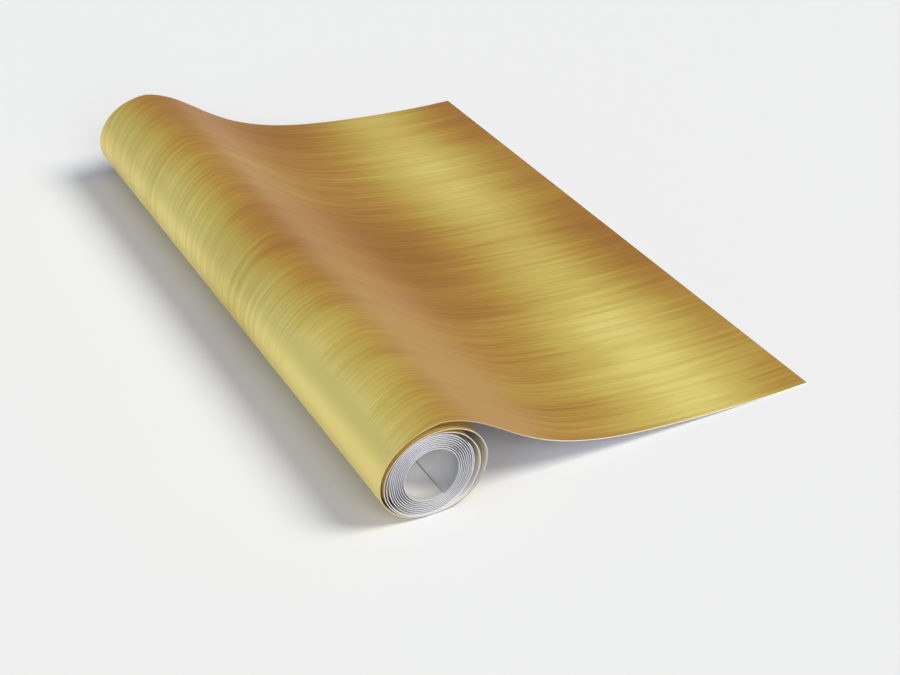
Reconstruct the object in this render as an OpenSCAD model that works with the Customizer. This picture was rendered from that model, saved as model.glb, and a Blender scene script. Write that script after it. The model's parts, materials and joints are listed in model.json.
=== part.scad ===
// Coreless roll of brushed gold sign vinyl, wound face out, with its lead unrolled on the table.
// The web is three layers: face film, adhesive, release liner. Its path is one curve in the XZ
// plane, drawn along the outer face of the film from the inner free edge of the coil to the
// leading edge, and each layer is a band offset inwards from that curve and extruded along Y.

/* [Web] */
// Width of the web, which is the length of the roll
web_w = 305; // [150:1:620]
// Thickness of the brushed face film
film_t = 0.12; // [0.08:0.01:0.14]
// Thickness of the adhesive coat
adhesive_t = 0.04; // [0.03:0.01:0.05]
// Thickness of the paper release liner
liner_t = 0.15; // [0.10:0.01:0.18]

/* [Coil] */
// Radius of the open bore, which is the liner's face on the innermost turn
bore_r = 11.25; // [10.9:0.05:11.35]
// Radial step from one wound turn to the next
pitch = 0.8; // [0.7:0.01:0.81]
// Angle of the inner free edge, seen from the near end, from +X towards +Z
inner_edge_deg = -64; // [-80:1:-50]
// Whole turns in the core of the coil, which can slide out endways
core_turns = 4; // [2:1:6]

/* [Lead] */
// Distance from the apex of the arch to the line where the lead flexes when it is lifted
flex_reach = 54.5; // [40:0.5:70]
// Length of the film strip that peels off the liner at the leading edge
peel_len = 36; // [20:1:50]

/* [Resolution] */
// Degrees of winding per flat on the wound turns
step_deg = 8; // [5:1:12]
// Length of each flat on the unrolled lead
step_len = 3; // [2:0.5:5]

/* [Hidden] */

web_t = film_t + adhesive_t + liner_t;
film_band = [0, film_t];
adhesive_band = [film_t, film_t + adhesive_t];
liner_band = [film_t + adhesive_t, web_t];

// The roll's axis, from an origin on the table at the middle of the whole part.
axis_x = -77.4;
axis_z = 18.57;

// The coil: every turn is round for most of its way, then climbs one pitch over the inner edge.
climb_from = 300;
coil_end = 2830;        // winding angle at the tail of the coil
core_end = 360 * core_turns + 180;
core_gap_deg = 1;       // clearance between the end of the core and the rest of the coil
bore_trim = 0.04;       // the innermost liner's facets are cut back this far to a round bore

// The loose turns round the coil: [angle, radius of the film's face], wound outwards, which is
// towards smaller angles. The last knot only sets the slope at the apex.
loose_knots = [
    [31, 17.72], [-65, 17.72], [-92, 17.72], [-120, 18.0], [-150, 18.35], [-175, 18.35],
    [-210, 18.03], [-235, 17.82], [-260, 17.81], [-280, 18.0], [-295, 18.32], [-310, 18.8],
    [-330, 19.35], [-350, 20.13], [-368, 20.37], [-390, 20.2], [-410, 19.65], [-430, 18.9],
    [-451, 18.15], [-475, 18.45], [-500, 18.84], [-520, 19.25], [-540, 19.4], [-560, 19.15],
    [-582, 18.6], [-600, 18.43], [-620, 18.5], [-640, 18.96], [-660, 20.1], [-690, 22.28],
    [-705, 23.06], [-718, 23.38], [-740, 22.8], [-760, 21.6], [-780, 20.17], [-798, 18.95],
    [-811, 18.55], [-838, 18.97], [-865, 19.85], [-888, 20.83], [-912, 21.12], [-955, 20.84],
    [-982, 21.44], [-997.9, 22.49], [-1008, 23.08]
];
loose_from = 31;
wraps_end = -960;
apex_deg = -997.9;

// The arch and the lead: [distance from the apex along X, height of the film's face]. The first
// knot only sets the slope at the apex, and the last stretch lies flat on the table.
apex_x = axis_x + 3.1;
lead_knots = [
    [-7, 39.5], [0, 40.85], [7, 39.5], [15.5, 35.8], [24.9, 29.8], [34.1, 23.5], [46.2, 16.7],
    [60.5, 11.2], [76.5, 7.25], [95.5, 4.4], [118.5, 2.2], [141.5, 0.85], [160.5, web_t],
    [172.9, web_t]
];
flat_from = 160.5;
lead_reach = 172.9;
peel_reach = lead_reach - peel_len;
flex_gap = 0.3;         // clearance across the flex line and the peel line
release_gap = 0.01;     // clearance between the peel strip's adhesive and the liner

near_gold = "goldenrod";
far_gold = "darkgoldenrod";
glue_white = "ivory";
paper_white = "gainsboro";

// Value at t of a smooth curve through knots [t, value], by cubic Hermite spans.
function knot_slope(k, i) =
    let (a = max(i - 1, 0), b = min(i + 1, len(k) - 1))
    (k[b][1] - k[a][1]) / (k[b][0] - k[a][0]);
function span_of(k, t, i = 0) =
    i >= len(k) - 2 || (k[i + 1][0] - t) * sign(k[1][0] - k[0][0]) > 0 ? i : span_of(k, t, i + 1);
function smooth(k, t) =
    let (
        i = span_of(k, t),
        d = k[i + 1][0] - k[i][0],
        u = (t - k[i][0]) / d,
        m0 = knot_slope(k, i) * d,
        m1 = knot_slope(k, i + 1) * d
    )
    (2 * pow(u, 3) - 3 * pow(u, 2) + 1) * k[i][1] + (pow(u, 3) - 2 * pow(u, 2) + u) * m0
    + (3 * pow(u, 2) - 2 * pow(u, 3)) * k[i + 1][1] + (pow(u, 3) - pow(u, 2)) * m1;

function ease(u) = u * u * (3 - 2 * u);
function on_roll(angle, r) = [axis_x + r * cos(angle), axis_z + r * sin(angle)];

// Radius of the film's face after a winding angle from the inner free edge.
function coil_radius(w) =
    let (turn = floor(w / 360), part = w - 360 * turn)
    bore_r - bore_trim + web_t + pitch * (turn + ease(max(0, part - climb_from) / (360 - climb_from)));

// Values from a to b in equal steps of about the given size.
function steps(a, b, size) =
    let (n = max(1, ceil(abs(b - a) / size)))
    [for (i = [0:n]) a + (b - a) * i / n];

// Each path runs outwards, so the film is always on its left.
function coil_path(w0, w1) = [for (w = steps(w0, w1, step_deg)) on_roll(inner_edge_deg - w, coil_radius(w))];
function loose_path(a0, a1) = [for (a = steps(a0, a1, step_deg)) on_roll(a, smooth(loose_knots, a))];
function lead_height(x) = x >= flat_from ? web_t : smooth(lead_knots, x);
function lead_path(x0, x1) = [for (x = steps(x0, x1, step_len)) [apex_x + x, lead_height(x)]];

function heading(p, i) =
    let (d = p[min(i + 1, len(p) - 1)] - p[max(i - 1, 0)])
    d / norm(d);
function inset(p, i, depth) = let (h = heading(p, i)) p[i] + depth * [h[1], -h[0]];
function without_first(p) = [for (i = [1:len(p) - 1]) p[i]];

// One layer of the web between two depths under the film's face, from one point of a path to
// another.
module layer(path, band, first, last) {
    face = [for (i = [first:last]) inset(path, i, band[0])];
    back = [for (i = [last:-1:first]) inset(path, i, band[1])];
    rotate([90, 0, 0])
        linear_extrude(height = web_w, center = true)
            polygon(concat(face, back));
}

core_path = coil_path(0, core_end);
core_last = len(core_path) - 1;

coil_outer_path = coil_path(core_end + core_gap_deg, coil_end);
coil_last = len(coil_outer_path) - 1;

// The loose wraps run on into the bridge, and share one path with it.
wraps_path = loose_path(loose_from, wraps_end);
bridge_path = concat(
    wraps_path,
    without_first(loose_path(wraps_end, apex_deg)),
    without_first(lead_path(0, flex_reach - flex_gap / 2))
);
wraps_last = len(wraps_path) - 1;
bridge_last = len(bridge_path) - 1;

// The liner runs under the lead's film and the peel strip, so all three share one path.
lead_film_path = lead_path(flex_reach + flex_gap / 2, peel_reach - flex_gap / 2);
lead_liner_path = concat(
    lead_film_path,
    lead_path(peel_reach + flex_gap / 2, flat_from),
    [[apex_x + lead_reach, web_t]]
);
lead_film_last = len(lead_film_path) - 1;
lead_last = len(lead_liner_path) - 1;

// The coil's core, whose innermost turn has a true round bore.
module film_core() {
    color(far_gold) layer(core_path, film_band, 0, core_last);
}
module adhesive_core() {
    color(glue_white) layer(core_path, adhesive_band, 0, core_last);
}
module liner_core() {
    color(paper_white)
        difference() {
            layer(core_path, liner_band, 0, core_last);
            translate([axis_x, 0, axis_z])
                rotate([90, 0, 0])
                    cylinder(h = web_w + 2, r = bore_r, center = true, $fn = 180);
        }
}

// The outer turns of the coil, which turn as one inside the loose wraps.
module film_coil() {
    color(far_gold) layer(coil_outer_path, film_band, 0, coil_last);
}
module adhesive_coil() {
    color(glue_white) layer(coil_outer_path, adhesive_band, 0, coil_last);
}
module liner_coil() {
    color(paper_white) layer(coil_outer_path, liner_band, 0, coil_last);
}

// The loose wraps that the coil lies in.
module film_wraps() {
    color(near_gold) layer(bridge_path, film_band, 0, wraps_last);
}
module adhesive_wraps() {
    color(glue_white) layer(bridge_path, adhesive_band, 0, wraps_last);
}
module liner_wraps() {
    color(paper_white) layer(bridge_path, liner_band, 0, wraps_last);
}

// The arch over the roll, down to the flex line.
module film_bridge() {
    color(near_gold) layer(bridge_path, film_band, wraps_last, bridge_last);
}
module adhesive_bridge() {
    color(glue_white) layer(bridge_path, adhesive_band, wraps_last, bridge_last);
}
module liner_bridge() {
    color(paper_white) layer(bridge_path, liner_band, wraps_last, bridge_last);
}

// The lead beyond the flex line. Its liner runs on to the leading edge under the peel strip.
module film_lead() {
    color(near_gold) layer(lead_liner_path, film_band, 0, lead_film_last);
}
module adhesive_lead() {
    color(glue_white) layer(lead_liner_path, adhesive_band, 0, lead_film_last);
}
module liner_lead() {
    color(paper_white) layer(lead_liner_path, liner_band, 0, lead_last);
}

// The strip of film, with its adhesive, that peels off the liner at the leading edge.
module film_edge() {
    color(near_gold) layer(lead_liner_path, film_band, lead_film_last + 1, lead_last);
}
module adhesive_edge() {
    color(glue_white) layer(lead_liner_path, adhesive_band - [0, release_gap], lead_film_last + 1, lead_last);
}

film_core();
adhesive_core();
liner_core();
film_coil();
adhesive_coil();
liner_coil();
film_wraps();
adhesive_wraps();
liner_wraps();
film_bridge();
adhesive_bridge();
liner_bridge();
film_lead();
adhesive_lead();
liner_lead();
film_edge();
adhesive_edge();
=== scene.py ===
"""Coreless roll of brushed gold sign vinyl: the looks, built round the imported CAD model.

Every layer of the web is rebuilt as a smooth closed sheet along its own CAD path, so it keeps
the CAD model's place and thickness. x runs from the roll to the leading edge, y along the roll
and z up. Web coordinates are s, metres along the web from its leading edge, and y.
"""

import json
import math

import bpy
import numpy as np
from mathutils import Matrix, Vector


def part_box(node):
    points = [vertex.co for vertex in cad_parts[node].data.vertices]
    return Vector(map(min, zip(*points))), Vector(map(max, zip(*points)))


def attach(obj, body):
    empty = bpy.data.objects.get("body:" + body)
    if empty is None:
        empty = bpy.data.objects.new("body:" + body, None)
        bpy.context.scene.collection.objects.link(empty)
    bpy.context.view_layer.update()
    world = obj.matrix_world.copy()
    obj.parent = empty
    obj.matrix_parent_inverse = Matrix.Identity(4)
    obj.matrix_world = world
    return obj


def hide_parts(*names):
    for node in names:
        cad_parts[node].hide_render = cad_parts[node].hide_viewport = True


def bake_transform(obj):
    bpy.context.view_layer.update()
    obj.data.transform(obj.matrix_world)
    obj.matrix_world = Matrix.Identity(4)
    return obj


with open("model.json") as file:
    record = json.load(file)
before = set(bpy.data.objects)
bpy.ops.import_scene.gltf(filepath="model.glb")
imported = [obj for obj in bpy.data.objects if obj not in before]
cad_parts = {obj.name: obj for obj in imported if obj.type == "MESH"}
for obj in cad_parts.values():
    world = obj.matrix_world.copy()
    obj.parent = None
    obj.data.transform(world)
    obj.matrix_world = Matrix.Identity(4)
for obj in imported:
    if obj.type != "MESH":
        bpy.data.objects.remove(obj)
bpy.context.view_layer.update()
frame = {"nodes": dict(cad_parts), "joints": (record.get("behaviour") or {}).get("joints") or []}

MM = 0.001

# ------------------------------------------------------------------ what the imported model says
NEAR_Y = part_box("film_wraps")[0].y
FAR_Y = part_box("film_wraps")[1].y
WEB_W = FAR_Y - NEAR_Y
JOINTS = {joint["name"]: joint for joint in frame["joints"]}
ROLL_AXIS = Vector(JOINTS["coil_turn"]["pos_m"])
FLEX_LINE = Vector(JOINTS["lead_lift"]["pos_m"])
PEEL_LINE = Vector(JOINTS["film_peel"]["pos_m"])

# ------------------------------------------------------------------ how finely sheets are made
ARC_STEP = math.radians(2.5)    # a bend has a row of faces for each such turn
LONG_STEP = 2.0 * MM            # and no face is longer than this along the web
ROWS = 10                       # faces across the web
EDGE_EASE = 0.02 * MM           # how far a cut edge is rounded back
SHARP_TURN = math.radians(40)   # faces that meet at more than this are shaded apart
KEYS_PER_METRE = 1e7            # CAD corners are told apart to this fineness

# ------------------------------------------------------------------ where bends in poses would start and end
FLEX_BEFORE = 6 * MM            # a bend of the lead would start this far short of the flex line
FLEX_AFTER = 26 * MM            # and end this far past it
PEEL_AFTER = 14 * MM            # the film's curl would run over this length past the peel line
FILM_SPLIT = 20 * MM            # two film pieces meet this far short of the peel line

# ------------------------------------------------------------------ the gold's bands, partly painted light
ALONG_SPAN = 250 * MM           # light and dark bands, partly painted highlight and painted shade, follow each other along this much web
ALONG_BANDS_WITH_PAINTED_LIGHT = [                 # and this is how bright they are, leading edge first; the bright band past 0.77 is painted light on the left flank
    (0.00, 0.09), (0.06, 0.15), (0.14, 0.52), (0.20, 0.62), (0.27, 0.46), (0.36, 0.14),
    (0.46, 0.05), (0.60, 0.09), (0.69, 0.06), (0.73, 0.20), (0.77, 0.42), (0.81, 0.80),
    (0.85, 0.67), (0.92, 0.75), (0.97, 0.66), (1.00, 0.16),
]
ACROSS_BANDS = [                # and from its near end to its far end
    (0.00, 0.72), (0.10, 0.98), (0.24, 0.84), (0.33, 0.42), (0.45, 0.16), (0.55, 0.22),
    (0.62, 0.52), (0.78, 0.68), (0.88, 0.36), (1.00, 0.26),
]
ALONG_SHARE = 1.3               # how much the two sets of bands count in the gold's tone
ACROSS_SHARE = 0.42
TONE_RANGE = 0.8                # takes the tone's whole range on to the colours below
GOLD_TONES = [                  # from the darkest gold to the lightest
    (0.00, (154, 100, 46)), (0.16, (171, 116, 53)), (0.32, (185, 135, 64)),
    (0.48, (199, 160, 75)), (0.64, (214, 187, 94)), (0.80, (226, 205, 109)),
    (1.00, (247, 229, 135)),
]

# ------------------------------------------------------------------ the gold's brushed grain
GRAIN = {                       # how fine along and across the web, per metre; detail, roughness
    "drift": (6, 14, 1, 0.5),
    "bands": (7, 70, 2, 0.5),
    "streaks": (16, 420, 3, 0.6),
    "scratches": (28, 1500, 2, 0.6),
    "hairs": (12, 800, 1, 0.5),
}
GRAIN_SHARES = {"drift": 0.16, "bands": 0.28, "streaks": 0.34, "scratches": 0.28}
HAIR_RANGE = (0.34, 0.46)       # where the hairs' texture turns from dark to plain
HAIR_SHARE = 0.10
STREAK_RELIEF = 0.6             # how deep the streaks are, next to the scratches
STREAK_ROUGHNESS = 0.12         # how much rougher they make the film
FILM_ROUGHNESS = 0.36           # than this
HOLLOW_SWAY_S = (110 * MM, 158 * MM)    # in the hollow the grain goes sideways over this stretch
HOLLOW_SWAY = 9 * MM                    # by this much
ARCH_SWAY_S = (165 * MM, 222 * MM)      # and over the arch it comes back
ARCH_SWAY = 6 * MM                      # by this much near the near end
ARCH_SWAY_MORE = 12 * MM                # and by this much more past the middle
ARCH_SWAY_Y = (-50 * MM, 30 * MM)       # growing over this stretch of the width

# ------------------------------------------------------------------ the gold's tints, one of them a painted sheen
PAINTED_SHEEN = (197, 156, 102)                  # a painted pinkish sheen, a painted reflection on the hollow side of the arch
PAINTED_SHEEN_IN_S = (108 * MM, 146 * MM)        # where the painted sheen comes in along the web
PAINTED_SHEEN_OUT_S = (156 * MM, 184 * MM)       # and goes out
PAINTED_SHEEN_Y = (130 * MM, -90 * MM)           # it grows towards the near end
PAINTED_SHEEN_MOST = 0.7
PALE_EDGE_COLOUR = (232, 230, 240)               # the film's pale colour along its cut edges
LOOSE_MARGIN = 0.05 * MM                # how far in the pale margin reaches on the loose web
WOUND_MARGIN = 0.8 * MM                 # and in the tight coil
MARGIN_FADE = (0.8, 1.1)                # over which share of its margin it fades out

# ------------------------------------------------------------------ the liner and the cut edges, with some painted shade
PAPER_CLOUDS = 120              # clouds to the metre in the paper's mottle
GLUE_CLOUDS = 150
CUT_CLOUDS = 30
CUT_FIBRES = 1800               # fibres to the metre on the loose web's cut edge
BORE_SHADE_REACH = 30 * MM             # how far into the bore the liner's painted shade changes
BORE_PAINTED_SHADE_TONES = [                  # and its greys, painted shade from the cut edge inwards: darkest just in from the cut edge, light deeper in
    (0.00, (176, 176, 176)), (0.026, (166, 165, 163)), (0.045, (157, 156, 154)),
    (0.20, (194, 193, 190)), (0.50, (240, 238, 235)), (1.00, (246, 245, 242)),
]
BORE_SHADE_UNEVEN = 0.02              # how far the clouds shift those greys, as a share of the fade
BORE_PAINTED_SHADOW_LINE = (136, 137, 139)     # painted shadow: the dark line where the web begins, in the bore
BORE_PAINTED_SHADOW_LINE_W = 0.35 * MM
BORE_PAINTED_SHADOW_LINE_SOFT = 0.3 * BORE_PAINTED_SHADOW_LINE_W
EDGE_SPAN = 550 * MM            # the loose web's cut edge changes over this length
EDGE_TONES_WITH_PAINTED_SHADE = [                  # from its leading edge inwards; the dark stretch from about 0.445 to 0.50 is painted shade on the outer wrap's rim at the roll's lower left
    (0.00, (232, 222, 200)), (0.22, (226, 214, 192)), (0.27, (180, 157, 120)),
    (0.40, (186, 165, 114)), (0.42, (196, 184, 132)), (0.445, (114, 108, 95)),
    (0.475, (100, 100, 100)), (0.50, (157, 157, 157)), (0.54, (190, 190, 189)),
    (1.00, (195, 195, 196)),
]
EDGE_UNEVEN = 0.01              # how far the fibres shift those tones, as a share of the span

# ------------------------------------------------------------------ floor, light and camera
FLOOR_REACH = 6                 # metres from the middle to each side
FLOOR_WHITE = (0.658, 0.658, 0.660)     # linear, as the shader wants it
COOL = (0.98, 0.995, 1.075)
COLD = (0.90, 0.98, 1.28)
WARM = (1.02, 1.01, 0.92)
WORLD_STRENGTH = 0.22
LAMPS = [                       # name, strength, spread in degrees, colour and the way it shines
    ("key", 3.10, 27, WARM, (-0.74, 0.47, -1.00)),
    ("fill", 0.92, 50, COLD, (0.93, 0.25, -0.27)),
    ("front", 1.62, 40, COOL, (0.10, 0.85, -0.50)),
]
CAMERA_AT = (-0.28687, -0.53355, 0.36938)
CAMERA_FORWARD = (0.40993, 0.72274, -0.55650)
CAMERA_RIGHT = (0.87385, -0.48620, 0.01215)
CAMERA_LENS = 62
CAMERA_SENSOR = 36


# ================================================================== the web's path
def side_lengths(ring):
    return np.linalg.norm(np.roll(ring, -1, 0) - ring, axis=1)


def section_of(node):
    """The corners of a CAD node's section, (x, z), clockwise as seen from the near end."""
    mesh = frame["nodes"][node].data
    points = np.array([v.co for v in mesh.vertices], float)
    near = points[:, 1] < NEAR_Y + WEB_W / 2
    keys = [tuple(k) for k in np.round(points[:, [0, 2]] * KEYS_PER_METRE).astype(int)]
    links = {}
    place = {}
    for face in mesh.polygons:
        front = [i for i in face.vertices if near[i]]
        if len(front) == 2 and len(face.vertices) == 3:
            a, b = keys[front[0]], keys[front[1]]
            place[a], place[b] = points[front[0]][[0, 2]], points[front[1]][[0, 2]]
            links.setdefault(a, set()).add(b)
            links.setdefault(b, set()).add(a)
    ring = [min(links)]
    previous = None
    while True:
        onward = next(k for k in sorted(links[ring[-1]]) if k != previous)
        if onward == ring[0]:
            break
        previous = ring[-1]
        ring.append(onward)
    corners = np.array([place[k] for k in ring])
    x, z = corners.T
    twice_area = np.sum(x * np.roll(z, -1) - np.roll(x, -1) * z)
    return corners[::-1] if twice_area > 0 else corners


def face_of(node):
    """The side of a film node's section that shows its face, from its inner end outwards."""
    ring = section_of(node)
    ends = np.sort(np.argsort(side_lengths(ring))[:2])
    axis = np.array([ROLL_AXIS.x, ROLL_AXIS.z])
    inner, outer = sorted(ends, key=lambda i: np.linalg.norm(ring[i] - axis))
    count = (outer - inner) % len(ring)
    return np.array([ring[(inner + 1 + i) % len(ring)] for i in range(count)])


def thickness_of(node):
    return float(side_lengths(section_of(node)).min())


def joined(*paths):
    """Paths end to end. Where two of them meet or face each other across a gap, one point is kept."""
    whole = paths[0]
    for path in paths[1:]:
        middle = (whole[-1] + path[0]) / 2
        whole = np.vstack([whole[:-1], middle, path[1:]])
    return whole


def between(u, t, points, span):
    """Each point blended with the next one, for the place u among the knots t."""
    return [(t[k + span] - u) / (t[k + span] - t[k]) * points[k]
            + (u - t[k]) / (t[k + span] - t[k]) * points[k + 1] for k in range(len(points) - 1)]


def smoothed(path):
    """A centripetal Catmull-Rom curve through a path's points, finer where it bends."""
    ahead = np.vstack([2 * path[0] - path[1], path, 2 * path[-1] - path[-2]])
    steps = np.sqrt(np.linalg.norm(np.diff(ahead, axis=0), axis=1))
    knots = np.concatenate([[0], np.cumsum(steps)])
    turns = np.unwrap(np.arctan2(*np.diff(ahead, axis=0).T[::-1]))
    curve = [path[0]]
    for i in range(1, len(path)):
        p, t = ahead[i - 1:i + 3], knots[i - 1:i + 3]
        turn = abs(turns[i + 1] - turns[i - 1]) / 2
        length = np.linalg.norm(p[2] - p[1])
        count = max(1, math.ceil(turn / ARC_STEP), math.ceil(length / LONG_STEP))
        for u in np.linspace(t[1], t[2], count + 1)[1:]:
            lines = between(u, t, p, 1)
            bends = between(u, t, lines, 2)
            curve.append(between(u, t[1:3], bends, 1)[0])
    return np.array(curve)


class Path:
    """A stretch of the web: points of the film's face in the xz plane, the way in from the face
    at each of them, and s there."""

    def __init__(self, points, inward, s):
        self.points = points
        self.inward = inward
        self.s = s

    def part(self, x_from=None, x_to=None):
        """The outermost stretch of the path, cut at the given places along x."""
        first, last = 0, len(self.points) - 1
        if x_from is not None:
            first = last - np.argmax(self.points[::-1, 0] < x_from) + 1
        if x_to is not None:
            last = last - np.argmax(self.points[::-1, 0] < x_to) + 1
        kept = slice(first, last + 1)
        return Path(self.points[kept], self.inward[kept], self.s[kept])

    def length(self):
        return float(self.s[0] - self.s[-1])


def path_through(points, s_at_end):
    along = np.gradient(points, axis=0)
    along /= np.linalg.norm(along, axis=1)[:, None]
    inward = np.stack([along[:, 1], -along[:, 0]], axis=1)
    run = np.concatenate([[0], np.cumsum(np.linalg.norm(np.diff(points, axis=0), axis=1))])
    return Path(points, inward, s_at_end + run[-1] - run)


FILM_T = thickness_of("film_lead")
ADHESIVE_T = thickness_of("adhesive_lead")
LINER_T = thickness_of("liner_lead")
FILM = (0, FILM_T)              # each layer's depths under the film's face
ADHESIVE = (FILM_T, FILM_T + ADHESIVE_T)
LINER = (FILM_T + ADHESIVE_T, FILM_T + ADHESIVE_T + LINER_T)

OUTER_NODES = ("film_wraps", "film_bridge", "film_lead", "film_edge")
WEB = path_through(smoothed(joined(*(face_of(node) for node in OUTER_NODES))), 0)
COIL = path_through(smoothed(face_of("film_coil")), WEB.s[0])
CORE = path_through(smoothed(face_of("film_core")), COIL.s[0])


# ================================================================== sheets
FACE, BACK, CUT = range(3)      # a sheet's material slots


def sheet_mesh(name, path, band, materials):
    """A closed sheet between two depths under the film's face. materials are for its face, its
    back and its cut edges, in that order."""
    low, high = band
    ys = [NEAR_Y + EDGE_EASE + (WEB_W - 2 * EDGE_EASE) * i / ROWS for i in range(ROWS + 1)]
    rows = [(NEAR_Y, EDGE_EASE)] + [(y, 0) for y in ys] + [(FAR_Y, EDGE_EASE)]
    points = len(path.points)
    last_i, last_r = points - 1, len(rows) - 1
    vertices = []
    for y, ease in rows:
        for depth in (low + ease, high - ease):
            at = path.points + depth * path.inward
            vertices += [(x, y, z) for x, z in at]

    def vertex(row, side, i):
        return (2 * row + side) * points + i

    faces, slots, places = [], [], []

    def add(corners, slot):
        faces.append([vertex(r, side, i) for r, side, i in corners])
        slots.append(slot)
        places.append([(path.s[i], rows[r][0]) for r, side, i in corners])

    for i in range(last_i):
        for r in range(last_r):
            edge = r in (0, last_r - 1)
            add([(r, 0, i), (r, 0, i + 1), (r + 1, 0, i + 1), (r + 1, 0, i)], CUT if edge else FACE)
            add([(r, 1, i), (r + 1, 1, i), (r + 1, 1, i + 1), (r, 1, i + 1)], CUT if edge else BACK)
        add([(0, 0, i), (0, 1, i), (0, 1, i + 1), (0, 0, i + 1)], CUT)
        add([(last_r, 0, i), (last_r, 0, i + 1), (last_r, 1, i + 1), (last_r, 1, i)], CUT)
    for r in range(last_r):
        add([(r, 0, 0), (r + 1, 0, 0), (r + 1, 1, 0), (r, 1, 0)], CUT)
        add([(r, 0, last_i), (r, 1, last_i), (r + 1, 1, last_i), (r + 1, 0, last_i)], CUT)

    mesh = bpy.data.meshes.new(name)
    mesh.from_pydata(vertices, [], faces)
    for material in materials:
        mesh.materials.append(material)
    mesh.polygons.foreach_set("material_index", slots)
    web = mesh.uv_layers.new(name="web")
    web.data.foreach_set("uv", [value for corners in places for uv in corners for value in uv])
    mesh.validate()
    mesh.shade_smooth()
    mesh.set_sharp_from_angle(angle=SHARP_TURN)
    piece = bpy.data.objects.new(name, mesh)
    bpy.context.scene.collection.objects.link(piece)
    return piece


# ================================================================== materials
def linear(red, green, blue):
    """A colour given as it looks on screen, from 0 to 255, as the shader wants it."""
    def channel(c):
        c /= 255
        return c / 12.92 if c <= 0.04045 else ((c + 0.055) / 1.055) ** 2.4
    return tuple(channel(c) for c in (red, green, blue))


class Nodes:
    """A material's node tree, built a node at a time. A source is what feeds a socket: a
    (node, output) pair, a number, or a screen colour."""

    def __init__(self, name):
        self.material = bpy.data.materials.new(name)
        self.material.use_nodes = True
        self.tree = self.material.node_tree
        self.tree.nodes.clear()
        self.shader = self.node("ShaderNodeBsdfPrincipled")
        output = self.node("ShaderNodeOutputMaterial")
        self.wire((self.shader, "BSDF"), output.inputs["Surface"])

    def node(self, kind, **settings):
        made = self.tree.nodes.new(kind)
        for key, value in settings.items():
            setattr(made, key, value)
        return made

    def wire(self, source, socket):
        if not isinstance(source, tuple):
            socket.default_value = source
        elif len(source) == 2:
            self.tree.links.new(source[0].outputs[source[1]], socket)
        else:
            socket.default_value = (*linear(*source), 1)

    def give(self, name, source):
        """Feed one of the shader's own sockets."""
        self.wire(source, self.shader.inputs[name])

    def web_axes(self):
        """s and y at each point of the web."""
        uv = self.node("ShaderNodeUVMap", uv_map="web")
        split = self.node("ShaderNodeSeparateXYZ")
        self.wire((uv, "UV"), split.inputs["Vector"])
        return (split, "X"), (split, "Y")

    def maths(self, operation, a, b=0.0):
        made = self.node("ShaderNodeMath", operation=operation)
        self.wire(a, made.inputs[0])
        self.wire(b, made.inputs[1])
        return made, "Value"

    def plus(self, a, b):
        return self.maths("ADD", a, b)

    def minus(self, a, b):
        return self.maths("SUBTRACT", a, b)

    def times(self, a, b):
        return self.maths("MULTIPLY", a, b)

    def swing(self, texture, amount):
        """A texture's ups and downs about its middle level, times amount."""
        return self.times(self.minus(texture, 0.5), amount)

    def from_cut_edge(self, y):
        """How far a point of the web is from the nearer of its two cut edges."""
        return self.minus(WEB_W / 2, self.maths("ABSOLUTE", y))

    def rise(self, value, start, end, height=1):
        """0 before start and height after end, with a smooth step between."""
        made = self.node("ShaderNodeMapRange", interpolation_type="SMOOTHSTEP")
        self.wire(value, made.inputs["Value"])
        made.inputs["From Min"].default_value = start
        made.inputs["From Max"].default_value = end
        made.inputs["To Max"].default_value = height
        return made, "Result"

    def noise(self, s, y, per_metre_s, per_metre_y, detail, roughness=0.5):
        """A cloudy texture from 0 to 1, scaled apart along and across the web."""
        at = self.node("ShaderNodeCombineXYZ")
        self.wire(self.times(s, per_metre_s), at.inputs["X"])
        self.wire(self.times(y, per_metre_y), at.inputs["Y"])
        made = self.node("ShaderNodeTexNoise", noise_dimensions="2D")
        made.inputs["Scale"].default_value = 1
        made.inputs["Detail"].default_value = detail
        made.inputs["Roughness"].default_value = roughness
        self.wire((at, "Vector"), made.inputs["Vector"])
        return made, "Fac"

    def ramp(self, value, stops, interpolation="LINEAR"):
        """A stop is (position, screen colour) or (position, grey level from 0 to 1)."""
        made = self.node("ShaderNodeValToRGB")
        made.color_ramp.interpolation = interpolation
        elements = made.color_ramp.elements
        while len(elements) < len(stops):
            elements.new(0.5)
        for element, (position, colour) in zip(elements, stops):
            element.position = position
            grey = isinstance(colour, (int, float))
            element.color = (colour, colour, colour, 1) if grey else (*linear(*colour), 1)
        self.wire(value, made.inputs["Fac"])
        return made, "Color"

    def mix(self, factor, a, b):
        """Colour a where factor is 0, and colour b where it is 1."""
        made = self.node("ShaderNodeMix", data_type="RGBA")
        self.wire(factor, made.inputs["Factor"])
        self.wire(a, made.inputs["A"])
        self.wire(b, made.inputs["B"])
        return made, "Result"

    def bump(self, height, strength, distance):
        made = self.node("ShaderNodeBump")
        made.inputs["Strength"].default_value = strength
        made.inputs["Distance"].default_value = distance
        self.wire(height, made.inputs["Height"])
        self.give("Normal", (made, "Normal"))


def swayed(n, s, y):
    """y as the grain sees it, which sways sideways in the hollow and back over the arch."""
    out = n.rise(s, *HOLLOW_SWAY_S, HOLLOW_SWAY)
    reach = n.plus(n.times(n.rise(y, *ARCH_SWAY_Y), ARCH_SWAY_MORE), ARCH_SWAY)
    back = n.times(n.rise(s, *ARCH_SWAY_S), reach)
    return n.minus(y, n.minus(out, back))


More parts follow.
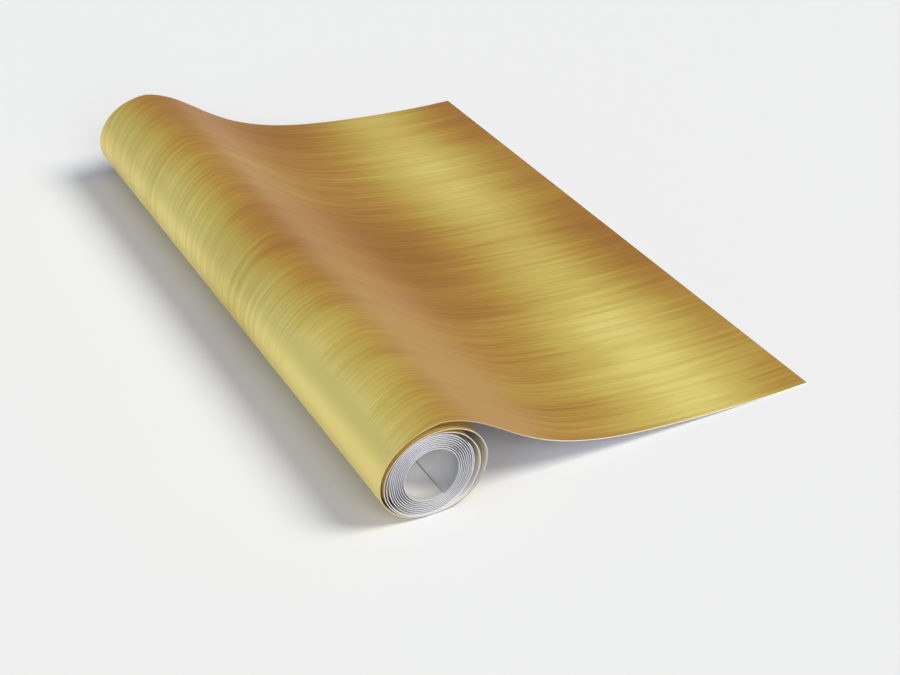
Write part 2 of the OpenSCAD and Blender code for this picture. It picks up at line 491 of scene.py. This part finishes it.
def gold_colour(n, s, grain_y, grain):
    """Broad soft bands of light and dark gold, partly the film's own gradient and partly painted
    highlight and painted shade, with the brushed grain over them.
    """
    # the bands along the web hold painted highlight and painted shade as well as the film's own
    # gradient
    along = n.ramp(n.times(s, 1 / ALONG_SPAN), ALONG_BANDS_WITH_PAINTED_LIGHT, "B_SPLINE")
    across = n.ramp(n.plus(n.times(grain_y, 1 / WEB_W), 0.5), ACROSS_BANDS, "B_SPLINE")
    tone = n.plus(n.times(along, ALONG_SHARE), n.times(across, ACROSS_SHARE))
    tone = n.plus(tone, n.rise(grain["hairs"], *HAIR_RANGE, HAIR_SHARE))
    for texture, share in GRAIN_SHARES.items():
        tone = n.plus(tone, n.swing(grain[texture], share))
    return n.ramp(n.times(tone, TONE_RANGE), GOLD_TONES)


def brushed_gold(name, margin):
    """Metallised film, brushed along the web, with a painted sheen on the hollow side of the arch.
    It turns pale for margin metres, more or less, along its cut edges."""
    n = Nodes(name)
    s, y = n.web_axes()
    grain_y = swayed(n, s, y)
    grain = {texture: n.noise(s, grain_y, *settings) for texture, settings in GRAIN.items()}

    # painted sheen: a pinkish painted reflection on the hollow side of the arch, mixed into the gold
    hollow = n.minus(n.rise(s, *PAINTED_SHEEN_IN_S), n.rise(s, *PAINTED_SHEEN_OUT_S))
    painted_sheen_mask = n.times(hollow, n.rise(y, *PAINTED_SHEEN_Y, PAINTED_SHEEN_MOST))
    gold = n.mix(painted_sheen_mask, gold_colour(n, s, grain_y, grain), PAINTED_SHEEN)

    ragged = n.plus(n.from_cut_edge(y), n.swing(grain["scratches"], margin / 2))
    clear = n.rise(ragged, *(share * margin for share in MARGIN_FADE))
    n.give("Base Color", n.mix(clear, PALE_EDGE_COLOUR, gold))

    relief = n.plus(n.times(grain["streaks"], STREAK_RELIEF), grain["scratches"])
    n.bump(relief, strength=0.2, distance=0.02 * MM)
    n.give("Roughness", n.plus(n.times(grain["streaks"], STREAK_ROUGHNESS), FILM_ROUGHNESS))
    tangent = n.node("ShaderNodeTangent", direction_type="UV_MAP", uv_map="web")
    n.give("Tangent", (tangent, "Tangent"))
    n.give("Metallic", 0.5)
    n.give("Anisotropic", 0.5)
    n.give("Specular IOR Level", 0.15)
    return n.material


def mottled(name, per_metre, dark, light, roughness, relief=0.0):
    """A plain surface with a mottle between two colours, half of it clouds per_metre to the
    metre, and half much finer fibres."""
    n = Nodes(name)
    s, y = n.web_axes()
    cloud = n.noise(s, y, per_metre, per_metre, detail=4, roughness=0.6)
    fibre = n.noise(s, y, 6 * per_metre, 15 * per_metre, detail=3, roughness=0.7)
    blend = n.plus(n.times(cloud, 0.5), n.times(fibre, 0.5))
    n.give("Base Color", n.ramp(blend, [(0.35, dark), (0.65, light)]))
    if relief:
        n.bump(fibre, strength=0.3, distance=relief)
    n.give("Roughness", roughness)
    return n.material


def wound_paper_with_painted_shade(name):
    """The liner's back in the tight coil and in its bore, with painted shade: its grey is darker near
    the cut edge and lighter deeper in. A thin painted shadow line runs along the web's inner end, in
    the bore."""
    n = Nodes(name)
    s, y = n.web_axes()
    cloud = n.noise(s, y, PAPER_CLOUDS, PAPER_CLOUDS, detail=4, roughness=0.6)
    # painted shade: the grey follows the depth from the cut edge, darker near the open ends of the
    # bore
    depth = n.plus(n.times(n.from_cut_edge(y), 1 / BORE_SHADE_REACH), n.swing(cloud, BORE_SHADE_UNEVEN))
    # a thin painted shadow line along the web's inner end, mixed over the liner's greys
    shadow_line_s = CORE.s[0] - BORE_PAINTED_SHADOW_LINE_W
    line = n.rise(s, shadow_line_s - BORE_PAINTED_SHADOW_LINE_SOFT, shadow_line_s)
    n.give("Base Color", n.mix(line, n.ramp(depth, BORE_PAINTED_SHADE_TONES), BORE_PAINTED_SHADOW_LINE))
    n.give("Roughness", 0.75)
    return n.material


def loose_edge(name):
    """The cut edge of the loose wraps, the arch and the lead, which changes along the web, with a
    stretch of painted shade at the roll's lower left.
    """
    n = Nodes(name)
    s, y = n.web_axes()
    fibre = n.noise(s, y, CUT_FIBRES, CUT_FIBRES, detail=3, roughness=0.7)
    along = n.plus(n.times(s, 1 / EDGE_SPAN), n.swing(fibre, EDGE_UNEVEN))
    # the edge's tones hold a stretch of painted shade where the outer wrap's rim runs at the roll's
    # lower left
    n.give("Base Color", n.ramp(along, EDGE_TONES_WITH_PAINTED_SHADE))
    n.give("Roughness", 0.7)
    return n.material


GOLD = brushed_gold("brushed_gold_film", LOOSE_MARGIN)
WOUND_GOLD = brushed_gold("brushed_gold_wound_film", WOUND_MARGIN)
FILM_CUT = mottled("film_cut_edge", CUT_CLOUDS, (170, 170, 173), (207, 207, 209), 0.5)
GLUE = mottled("adhesive_coat", GLUE_CLOUDS, (206, 204, 196), (224, 222, 214), 0.22)
RELEASE_FACE = mottled("liner_release_face", PAPER_CLOUDS, (222, 223, 222), (234, 235, 234), 0.35)
PAPER_BACK = mottled("liner_paper_back", PAPER_CLOUDS, (222, 222, 224), (234, 234, 236), 0.75,
                     relief=0.01 * MM)
PAPER_CUT = mottled("liner_cut_edge", CUT_CLOUDS, (172, 172, 175), (212, 212, 215), 0.8)
LOOSE_CUT = loose_edge("loose_web_cut_edge_with_painted_shade")
WOUND_BACK_PAINTED_SHADE = wound_paper_with_painted_shade("liner_wound_paper_back_painted_shade")

FILM_LOOK = (GOLD, FILM_CUT, LOOSE_CUT)     # a sheet's face, back and cut edges
WOUND_FILM_LOOK = (WOUND_GOLD, FILM_CUT, FILM_CUT)
GLUE_LOOK = (GLUE, GLUE, LOOSE_CUT)
WOUND_GLUE_LOOK = (GLUE, GLUE, GLUE)
LINER_LOOK = (RELEASE_FACE, PAPER_BACK, LOOSE_CUT)
WOUND_LINER_LOOK = (RELEASE_FACE, WOUND_BACK_PAINTED_SHADE, PAPER_CUT)


# ================================================================== the pieces
def wound_layers(body, path):
    """The three layers of a wound stretch, which turn with their body."""
    for layer, band, look, slot in (("film_", FILM, WOUND_FILM_LOOK, "face_film"),
                                    ("adhesive_", ADHESIVE, WOUND_GLUE_LOOK, "adhesive"),
                                    ("liner_", LINER, WOUND_LINER_LOOK, "release_liner")):
        piece = sheet_mesh(layer + body + "_web", path, band, look)
        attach(piece, body)
        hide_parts(layer + body)
        path.length()


def bend_ends(line, before, after):
    """Where a bend about a line across the web starts and ends."""
    return (line.x - before, 0, line.z), (line.x + after, 0, line.z)


def outer_web():
    """The loose wraps, the arch and the lead, as one piece for each layer up to where the film
    that peels off begins."""
    split_x = PEEL_LINE.x - FILM_SPLIT
    inner = WEB.part(x_to=split_x)
    outer = WEB.part(x_from=split_x)
    flex = bend_ends(FLEX_LINE, FLEX_BEFORE, FLEX_AFTER)
    peel = bend_ends(PEEL_LINE, 0, PEEL_AFTER)
    plan = [
        ("film_outer_web", inner, FILM, FILM_LOOK, ("wraps", "lead"), flex,
         ("film_wraps", "film_bridge", "film_lead"), "face_film"),
        ("adhesive_outer_web", inner, ADHESIVE, GLUE_LOOK, ("wraps", "lead"), flex,
         ("adhesive_wraps", "adhesive_bridge", "adhesive_lead"), "adhesive"),
        ("liner_outer_web", WEB, LINER, LINER_LOOK, ("wraps", "lead"), flex,
         ("liner_wraps", "liner_bridge", "liner_lead"), "release_liner"),
        ("film_leading_edge", outer, FILM, FILM_LOOK, ("lead", "peel_strip"), peel,
         ("film_edge",), "face_film"),
        ("adhesive_leading_edge", outer, ADHESIVE, GLUE_LOOK, ("lead", "peel_strip"), peel,
         ("adhesive_edge",), "adhesive"),
    ]
    for name, path, band, look, bodies, (start, end), nodes, slot in plan:
        piece = sheet_mesh(name, path, band, look)
        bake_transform(piece)
        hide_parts(*nodes)
        path.length()


# ================================================================== floor, light and camera
def floor():
    corners = [(-1, -1), (1, -1), (1, 1), (-1, 1)]
    mesh = bpy.data.meshes.new("floor")
    mesh.from_pydata([(x * FLOOR_REACH, y * FLOOR_REACH, 0) for x, y in corners],
                     [], [(0, 1, 2, 3)])
    n = Nodes("floor_white")
    n.shader.inputs["Base Color"].default_value = (*FLOOR_WHITE, 1)
    n.give("Roughness", 0.9)
    mesh.materials.append(n.material)
    made = bpy.data.objects.new("floor", mesh)
    bpy.context.scene.collection.objects.link(made)


def light():
    scene = bpy.context.scene
    world = bpy.data.worlds.new("studio")
    world.use_nodes = True
    background = world.node_tree.nodes["Background"]
    background.inputs["Color"].default_value = (*COOL, 1)
    background.inputs["Strength"].default_value = WORLD_STRENGTH
    scene.world = world
    for name, energy, spread, colour, towards in LAMPS:
        data = bpy.data.lights.new(name, "SUN")
        data.color = colour
        data.energy = energy
        data.angle = math.radians(spread)
        lamp = bpy.data.objects.new(name, data)
        lamp.rotation_mode = "QUATERNION"
        lamp.rotation_quaternion = Vector(towards).to_track_quat("-Z", "Y")
        scene.collection.objects.link(lamp)
    scene.view_settings.view_transform = "Standard"


def camera():
    forward = Vector(CAMERA_FORWARD).normalized()
    right = Vector(CAMERA_RIGHT).normalized()
    up = right.cross(forward).normalized()
    data = bpy.data.cameras.new("camera")
    data.sensor_width = CAMERA_SENSOR
    data.lens = CAMERA_LENS
    made = bpy.data.objects.new("camera", data)
    turn = Matrix((right, up, -forward)).transposed()
    made.matrix_world = Matrix.Translation(CAMERA_AT) @ turn.to_4x4()
    bpy.context.scene.collection.objects.link(made)
    bpy.context.scene.camera = made


wound_layers("core", CORE)
wound_layers("coil", COIL)
outer_web()
floor()
light()
camera()
